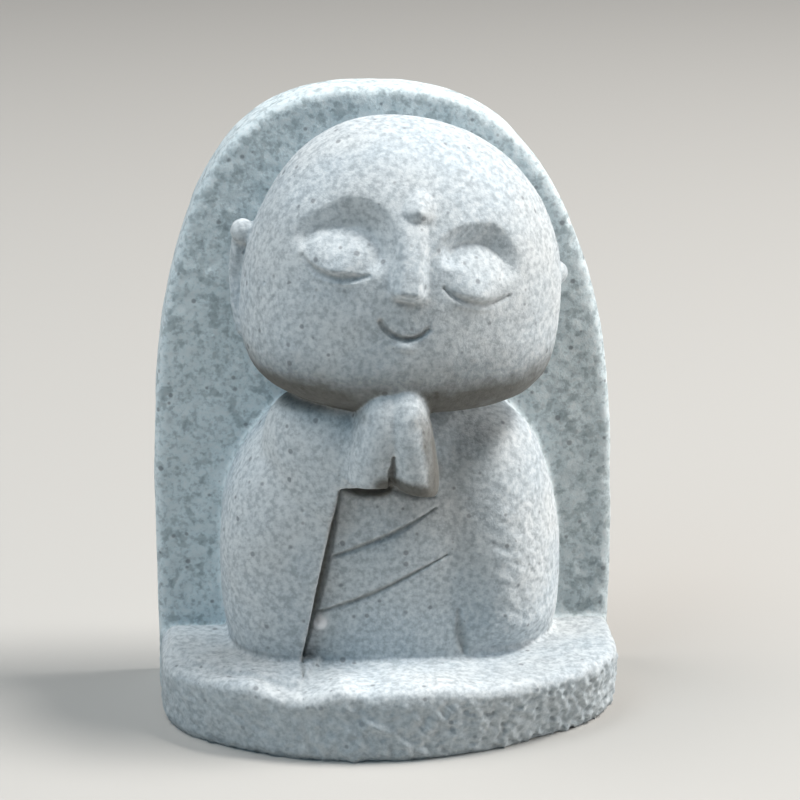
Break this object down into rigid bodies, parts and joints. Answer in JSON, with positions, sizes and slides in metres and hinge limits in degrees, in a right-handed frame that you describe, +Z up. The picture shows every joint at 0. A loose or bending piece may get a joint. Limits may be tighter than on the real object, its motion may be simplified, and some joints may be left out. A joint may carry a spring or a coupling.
{
  "type": "jizo statue",
  "caption": "Small garden jizo of grey cast stone: a praying monk with closed eyes on a low base, carved in front of an arched slab.",
  "frame": {"origin": "on the underside, below the middle of the statue's box", "axes": "+Z up, -Y to the front that the figure faces, +X to the right of someone who looks at the front"},
  "size_m": [0.0818, 0.0443, 0.11],
  "materials": {
    "stone": "matt, speckled grey cast stone"
  },
  "bodies": {
    "root": {"jizo_statue": "stone"}
  },
  "joints": []
}
